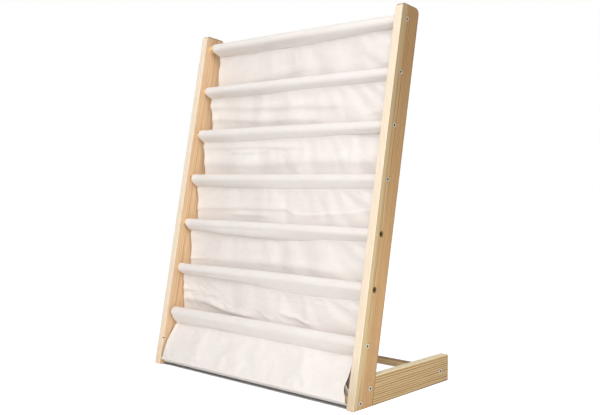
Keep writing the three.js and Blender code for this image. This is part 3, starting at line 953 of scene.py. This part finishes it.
def pocketPath(index, share):
    seam = seamAt(index, share)
    frontSeam = seamAt(index + 1, share)
    front = rodAxes[index + 1]
    radius = (seam.x - frontSeam.x - cloth["plyGap"]) / 2
    bottomZ = front.z - cloth["pocketDepth"]
    centre = Vector((seam.x - radius, bottomZ + radius))
    bottomSteps, plySteps, topSteps = cloth["pocketSteps"]
    bottom = arc(centre, radius, 0, -math.pi, bottomSteps)
    behindRod = rod["radius"] + cloth["rodGap"] + cloth["plyGap"]
    top = Vector((front.y + behindRod, front.z - cloth["pocketTopDrop"]))
    shoulder = Vector((frontSeam.x + cloth["plyGap"], frontSeam.y))
    middle = seam.lerp(bottom[0], 0.5)
    tunnel = tunnelPath(index, share)
    shown, hidden = cloth["panelSteps"]
    line = [
        *tunnel, *between(seam, middle, shown), middle, *between(middle, bottom[0], hidden), *bottom,
        *between(bottom[-1], shoulder, plySteps), shoulder, *between(shoulder, top, topSteps), top,
    ]
    return line, len(tunnel) - 1, len(tunnel) + shown + hidden - 2, len(line) - 1 - topSteps


def apronPath(index, share):
    seam = seamAt(index, share)
    lowest = Vector((rodAxes[7].y, rodAxes[7].z))
    radius = rod["radius"] + cloth["rodGap"]
    foldSteps, floorSteps, rodSteps, backSteps = apron["hemSteps"]
    fold = Vector((postFoot.y + apron["foldSetback"], apron["foldRise"]))
    turn = arc(fold, apron["foldRadius"], math.pi, 1.5 * math.pi, foldSteps)
    part = (seam.y - apron["tunnelRise"]) / (seam.y - turn[0].y)
    hemSeam = seam.lerp(turn[0], part) + Vector((2 * cloth["plyGap"], 0))
    under = arc(lowest, radius, tangent(lowest, radius, turn[-1], 1) - 2 * math.pi,
                tangent(lowest, radius, hemSeam, -1), rodSteps)
    tunnel = tunnelPath(index, share)
    shown = cloth["panelSteps"][0]
    line = [
        *tunnel, *between(seam, turn[0], shown), *turn,
        *between(turn[-1], under[0], floorSteps), *under, *between(under[-1], hemSeam, backSteps), hemSeam,
    ]
    return line, len(tunnel) - 1, len(tunnel) + shown - 2, len(tunnel) + shown - 1


def foldHeight(folds, share, drop):
    # a fold stands out most along its crest, falls off above and below it, and runs out at the crest's ends
    total = 0
    for height, above, below, crest in folds:
        first, last = crest[0][0], crest[-1][0]
        inside = 1
        for into in (share - first, last - share):
            inside *= min(1, max(0, into / cloth["foldEnd"]))
        under = drop / mm - profile(crest, max(share, first))[0]
        total += height * mm * inside * math.exp(-(under / (below if under > 0 else above)) ** 2)
    return total


def columnPlaces():
    half = innerFace - cloth["sideGap"]
    inner = half - cloth["hemColumns"][-1]
    count = round(2 * inner / cloth["columnStep"])
    left = [-half + inset for inset in cloth["hemColumns"]]
    middle = [-inner + 2 * inner * i / count for i in range(1, count)]
    return [*left, *middle, *[-x for x in reversed(left)]]


def drawIn(index, x, z):  # where the cloth's sides stand further in than its plain gap to the posts
    half = innerFace - cloth["sideGap"]
    drop = (rodAxes[index].z - z) / mm
    atRod, atFoot = slings[index]["leftGap"]
    left = profile([(0, atRod), (cloth["gapDrop"], atFoot)], max(drop, 0))[0] * mm - cloth["sideGap"]
    moved = x + left * (half - x) / (2 * half)
    if index == 6:
        right = profile(apron["rightGap"], max(z / mm, 0))[0] * mm - cloth["sideGap"]
        moved -= right * max(0, x / half) ** 2
    return moved


def clothMesh(name, index, path):
    columns = columnPlaces()
    half = columns[-1]
    waver = apron["waver"] if index == 6 else cloth["waver"]
    points, places, faces = [], [], []
    for x in columns:
        line, seamRow, panelRow, plyRow = path(index, (x + half) / (2 * half))
        rows = len(line)
        run = 0
        for row, place in enumerate(line):
            run += (place - line[row - 1]).length if row else 0
            push = 0
            if seamRow < row < plyRow:
                ease = cloth["waverRows"]
                away = min(1, (row - seamRow) / ease) * min(1, (plyRow - row) / ease)
                broad = Vector((x * cloth["waverStretch"], place.y, index)) / cloth["waverSpan"]
                push = waver * noise.noise(broad) * away
            points.append((drawIn(index, x, place.y), place.x - push, place.y))
            places.append((x + half, run))
    for column in range(len(columns) - 1):
        for row in range(rows - 1):
            a = column * rows + row
            faces.append((a, a + rows, a + rows + 1, a + 1))
    mesh = bpy.data.meshes.new(name)
    mesh.from_pydata(points, [], faces)
    cut = mesh.uv_layers.new(name="cut")
    for loop in mesh.loops:
        cut.data[loop.index].uv = places[loop.vertex_index]
    piece = bpy.data.objects.new(name, mesh)
    bpy.context.scene.collection.objects.link(piece)
    pinned = [i for i in range(len(points)) if not seamRow < i % rows < plyRow]
    piece.vertex_groups.new(name="pinned").add(pinned, 1, "REPLACE")
    hems = [i for i in range(len(points)) if half - abs(columns[i // rows]) <= cloth["hemWidth"]]
    piece.vertex_groups.new(name="hem").add(hems, 1, "REPLACE")
    panel = piece.vertex_groups.new(name="panel")  # takes the folds, and fades out at its first and last rows
    for row in range(seamRow + 1, panelRow):
        panel.add(range(row, len(points), rows), min(1, (row - seamRow) / 2, (panelRow - row) / 3), "REPLACE")
    return {
        "piece": piece, "index": index, "rows": rows, "columns": len(columns),
        "seamRow": seamRow, "plyRow": plyRow, "flat": (2 * half, run),
    }


def settle(strips):  # a short cloth simulation, so that the canvas hangs under its own weight
    for strip in strips:
        modifier = addModifier(strip["piece"], "CLOTH")
        canvas = modifier.settings
        canvas.quality = 5
        canvas.mass = 0.01
        canvas.tension_stiffness = 60
        canvas.compression_stiffness = 60
        canvas.shear_stiffness = 20
        canvas.bending_stiffness = 3
        canvas.air_damping = 4
        canvas.shrink_min = -0.006
        canvas.vertex_group_mass = "pinned"
        modifier.collision_settings.use_collision = False
        modifier.point_cache.frame_end = cloth["settleFrames"]
    for moment in range(1, cloth["settleFrames"] + 1):
        bpy.context.scene.frame_set(moment)
    for strip in strips:
        applyModifiers(strip["piece"])


def seatPly(strip, nextStrip):  # keeps a pocket's front ply just behind the panel that hangs before it
    points = strip["piece"].data.vertices
    ahead = nextStrip["piece"].data.vertices
    lowest = sum(cloth["panelSteps"]) + cloth["pocketSteps"][0] // 2  # rows down to a pocket's bottom
    for column in range(strip["columns"]):
        first = column * nextStrip["rows"]
        panel = [ahead[first + row].co for row in range(nextStrip["seamRow"], nextStrip["plyRow"])]
        for row in range(strip["seamRow"] + lowest, strip["plyRow"]):
            point = points[column * strip["rows"] + row].co
            for high, low in zip(panel, panel[1:]):
                if low.z <= point.z <= high.z:
                    part = (high.z - point.z) / (high.z - low.z)
                    point.y = max(point.y, high.y + (low.y - high.y) * part + cloth["plyGap"])
                    break


def panelHeight(index, share, place, drop):  # how far the folds and crumples of a panel stand forwards
    x, z = place.x, place.z
    crumpled = Vector((x * cloth["crumpleStretch"], z, index)) / cloth["crumpleSpan"]
    push = foldHeight(slings[index]["folds"], share, drop) + cloth["crumple"] * noise.noise(crumpled)
    across, down = cloth["rumpleStretch"]
    rumpled = Vector((x * across, (z + x * cloth["rumpleLean"]) * down, index)) / cloth["rumpleSpan"]
    for middle, depth, wide, tall, height in slings[index].get("rumples", []):
        near = math.exp(-((share - middle) / wide) ** 2 - ((drop / mm - depth) / tall) ** 2)
        push += height * mm * near * noise.noise(rumpled)
    if index == 6:
        tall, wide = apron["bulgeReach"]
        away = ((z - apron["bulgeHeight"]) / tall) ** 2 + (share / wide) ** 2
        push += apron["leftBulge"] * math.exp(-away)
    return push


def pressFolds(strip):  # soft creases, and the folds and crumples of a panel, laid into the subdivided mesh
    piece, index = strip["piece"], strip["index"]
    panel = piece.vertex_groups["panel"].index
    half = innerFace - cloth["sideGap"]
    for vertex in piece.data.vertices:
        place = vertex.co
        drop = rodAxes[index].z - place.z
        weight = sum(entry.weight for entry in vertex.groups if entry.group == panel)
        share = min(1, max(0, (place.x + half) / (2 * half)))
        push = 0
        if weight:
            push = panelHeight(index, share, place, drop) * weight
        elif 0 < drop < cloth["pocketDepth"] / 2:
            push = -foldHeight(slings[index].get("dents", []), share, drop)
        if drop < cloth["pocketDepth"] / 2:
            seam, _, forwards = profile(slings[index]["crease"], share)
            soft = cloth["softCorner"] * forwards / cloth["softForwards"]
            push += soft * math.exp(-abs(drop - seam * mm) / cloth["softSpan"])
        place.y -= push


def stitchRun(line):  # places at the stitch pitch along a line of points, each with the line's direction
    run = []
    left = stitch["pitch"]
    for start, end in zip(line, line[1:]):
        length = (end - start).length
        while left < length:
            run.append((start.lerp(end, left / length), (end - start).normalized()))
            left += stitch["pitch"]
        left -= length
    return run


def makeStitches(strip):
    # each stitch is a short thread with two blunt tips, half sunk into the cloth
    piece, rows, grid = strip["piece"], strip["rows"], strip["grid"]
    below = strip["seamRow"] + 1
    hemColumn = cloth["hemColumns"].index(stitch["hemInset"])
    runs = [(stitchRun(grid[below::rows]), cloth["thickness"])]
    for column in (hemColumn, strip["columns"] - 1 - hemColumn):
        runs.append((stitchRun(grid[column * rows:(column + 1) * rows]), cloth["hemThickness"]))
    points, faces = [], []
    for run, thickness in runs:
        for place, along in run:
            spot, normal = piece.closest_point_on_mesh(place)[1:3]
            across = along.cross(normal)
            for out in (normal * (thickness / 2), normal * (-thickness / 2)):
                first = len(points)
                middle = spot + out
                points.append(middle - along * (stitch["length"] / 2))
                for shift in (-stitch["length"] / 4, stitch["length"] / 4):
                    ring = middle + along * shift
                    points += [ring + across * stitch["radius"], ring + normal * stitch["radius"],
                               ring - across * stitch["radius"], ring - normal * stitch["radius"]]
                points.append(middle + along * (stitch["length"] / 2))
                for i in range(4):
                    a, b = first + 1 + i, first + 1 + (i + 1) % 4
                    faces += [(first, b, a), (a, b, b + 4, a + 4), (a + 4, b + 4, first + 9)]
    mesh = bpy.data.meshes.new("stitches")
    mesh.from_pydata(points, [], faces)
    thread = bpy.data.objects.new(piece.name.replace("canvas", "stitches"), mesh)
    bpy.context.scene.collection.objects.link(thread)
    activate(thread)
    bpy.ops.object.shade_smooth()
    mesh.materials.append(cottonThread)
    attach(thread, "root")
    return thread


def finishStrip(strip, node):
    piece = strip["piece"]
    strip["grid"] = [vertex.co.copy() for vertex in piece.data.vertices]
    addModifier(piece, "SUBSURF", levels=1)
    applyModifiers(piece)
    pressFolds(strip)
    thread = makeStitches(strip)
    addModifier(piece, "SOLIDIFY", thickness=cloth["hemThickness"], offset=0, vertex_group="hem",
                thickness_vertex_group=cloth["thickness"] / cloth["hemThickness"])
    applyModifiers(piece)
    activate(piece)
    bpy.ops.object.shade_smooth()
    finishPiece(piece, node, canvasCloth)


strips = [clothMesh(f"sling_{index + 1}_canvas", index, pocketPath) for index in range(6)]
strips.append(clothMesh("front_apron_canvas", 6, apronPath))
settle(strips)
for strip, nextStrip in zip(strips, strips[1:]):
    seatPly(strip, nextStrip)
for index, strip in enumerate(strips[:6], 1):
    finishStrip(strip, f"sling_{index}")
finishStrip(strips[6], "front_apron")
print("slings ready")


# Floor, light and camera

studio = {
    "skyLight": 0.11,
    "floorWidth": 30000 * mm,
    "floorDrop": 0.1 * mm,          # the floor lies this far under the feet
    "floorPaint": "F2F2F2",
    # painted shade: the darker paint that the camera sees under the glow
    "shadedPaint": "959595",
    "floorGlow": 1,
    "contact": 28 * mm,             # how far around the shelf the floor takes a painted contact shadow
    "contactShades": (0.25, 0.42),  # shares of open sky at which the floor is dark, and plain white
    "aim": (0, 0, 350 * mm),        # where every lamp points
}


def seenDirectly(tree):  # 1 for the camera's rays, and for those that a shiny or clear piece passes on
    path = addNode(tree, "LightPath", {})
    seen = addNode(tree, "Math", {0: path["Is Camera Ray"], 1: path["Is Glossy Ray"]}, operation="MAXIMUM")[0]
    return addNode(tree, "Math", {0: seen, 1: path["Is Transmission Ray"]}, operation="MAXIMUM")[0]


def makeStage():
    deselect()
    bpy.ops.mesh.primitive_plane_add(size=studio["floorWidth"], location=(0, 0, -studio["floorDrop"]))
    floor = newest("floor")
    # Painted studio floor: plain white to the camera, with a painted contact shadow close under the shelf:
    # there ambient occlusion dims its glow, over a darker paint that only the camera sees
    material, tree = emptyMaterial("paintedStudioFloor")
    paint = addNode(tree, "BsdfDiffuse", {"Color": linear(studio["floorPaint"])})[0]
    shaded = addNode(tree, "BsdfDiffuse", {"Color": linear(studio["shadedPaint"])})[0]
    free = addNode(tree, "AmbientOcclusion", {"Distance": studio["contact"]}, samples=16)["AO"]
    dark, white = studio["contactShades"]
    strength = addNode(tree, "MapRange", {
        "Value": free, "From Min": dark, "From Max": white, "To Min": 0, "To Max": studio["floorGlow"],
    })["Result"]
    glow = addNode(tree, "Emission", {"Strength": strength})[0]
    both = addNode(tree, "AddShader", {0: shaded, 1: glow})[0]
    mixed = addNode(tree, "MixShader", {0: seenDirectly(tree), 1: paint, 2: both})[0]
    addNode(tree, "OutputMaterial", {"Surface": mixed})
    floor.data.materials.append(material)


def makeWorld():
    world = bpy.data.worlds.new("studio")
    bpy.context.scene.world = world
    world.use_nodes = True
    tree = world.node_tree
    tree.nodes.clear()
    soft = addNode(tree, "Background", {"Color": (1, 1, 1, 1), "Strength": studio["skyLight"]})[0]
    white = addNode(tree, "Background", {"Color": (1, 1, 1, 1)})[0]
    mixed = addNode(tree, "MixShader", {0: seenDirectly(tree), 1: soft, 2: white})[0]
    addNode(tree, "OutputWorld", {"Surface": mixed})


# places and sizes in metres, power in watts
lamps = [
    {"name": "highLamp", "place": (1.6, -1.75, 2.6), "size": 1.7, "power": 45},
    {"name": "topLamp", "place": (0, -0.2, 2.6), "size": 1.5, "power": 6.5},
    {"name": "frontLamp", "place": (0.35, -2.5, 1.5), "size": 2.2, "power": 20.5},
    {"name": "sideLamp", "place": (1, -2.4, 0.5), "size": 2, "power": 19.5},
    {"name": "lowLamp", "place": (0.8, -0.02, 0.12), "size": 0.4, "power": 2.3},
    {"name": "rearLamp", "place": (-1.4, 2.1, 1.5), "size": 2, "power": 9},
]


def makeLamps():
    for lamp in lamps:
        light = bpy.data.lights.new(lamp["name"], "AREA")
        light.size = lamp["size"]
        light.energy = lamp["power"]
        holder = bpy.data.objects.new(lamp["name"], light)
        bpy.context.scene.collection.objects.link(holder)
        holder.location = lamp["place"]
        aim = Vector(studio["aim"]) - holder.location
        holder.rotation_mode = "QUATERNION"
        holder.rotation_quaternion = aim.to_track_quat("-Z", "Y")
        holder.visible_camera = False


eye = {
    "place": (1251.2 * mm, -1361.2 * mm, 446.2 * mm),
    "yaw": 42.25,         # this and the next two in degrees
    "pitch": -2.11,
    "roll": 0.09,
    "focal": 806.8,       # in the photograph's pixels
    "pictureWidth": 600,
}


def makeCamera():
    camera = bpy.data.cameras.new("camera")
    holder = bpy.data.objects.new("camera", camera)
    bpy.context.scene.collection.objects.link(holder)
    camera.sensor_width = 36
    camera.lens = eye["focal"] * camera.sensor_width / eye["pictureWidth"]
    turn = Matrix.Rotation(math.radians(eye["yaw"]), 4, "Z")
    tilt = Matrix.Rotation(math.radians(90 + eye["pitch"]), 4, "X")
    roll = Matrix.Rotation(math.radians(eye["roll"]), 4, "Z")
    holder.matrix_world = Matrix.Translation(eye["place"]) @ turn @ tilt @ roll
    bpy.context.scene.camera = holder


makeStage()
makeWorld()
makeLamps()
makeCamera()
bpy.context.scene.view_settings.view_transform = "Standard"
print("stage ready")
